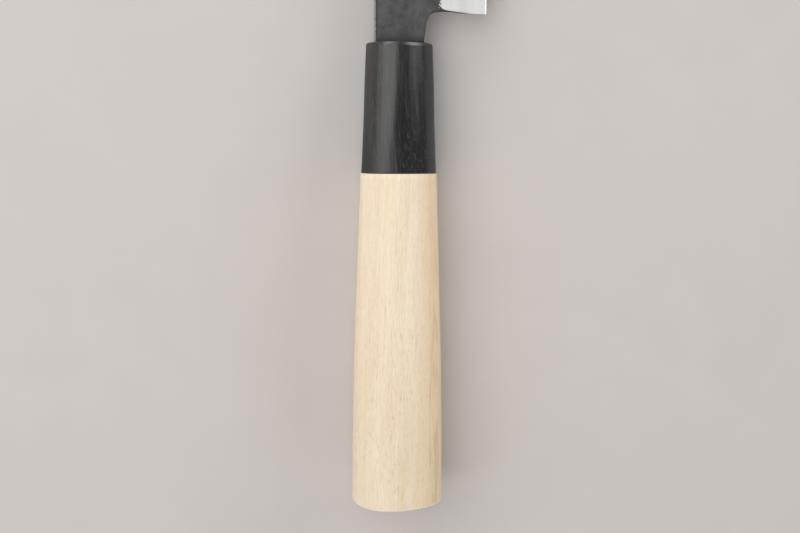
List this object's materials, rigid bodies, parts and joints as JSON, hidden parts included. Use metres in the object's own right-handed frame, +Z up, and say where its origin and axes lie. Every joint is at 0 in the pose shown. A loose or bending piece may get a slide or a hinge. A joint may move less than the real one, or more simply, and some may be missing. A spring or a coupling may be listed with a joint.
{
  "type": "kitchen utility knife",
  "caption": "Kitchen utility knife with a forge-black laminated blade, ground bevel, black horn ferrule and a pale wooden grip of soft D section.",
  "frame": {"origin": "on the table under the middle of the knife's footprint, the knife lying on its left side", "axes": "+X along the knife towards the tip, +Y towards the spine, +Z up out of the right-hand face"},
  "size_m": [0.2788, 0.0346, 0.0243],
  "materials": {
    "core_steel": "satin ground steel with fine scratches running away from the edge",
    "forge_black_iron": "matt forge-black scale on the flats, satin ground bevel below the grind line",
    "black_horn": "buffed black horn, semi-gloss, faint lengthwise streaks",
    "pale_wood": "bare sanded pale magnolia wood with fine straight grain",
    "bedding_resin": "dull brown setting resin, hidden"
  },
  "bodies": {
    "root": {"core_steel": "core_steel", "cladding_right": "forge_black_iron", "cladding_left": "forge_black_iron", "ferrule": "black_horn", "grip": "pale_wood", "tang_bedding": "bedding_resin"}
  },
  "joints": []
}
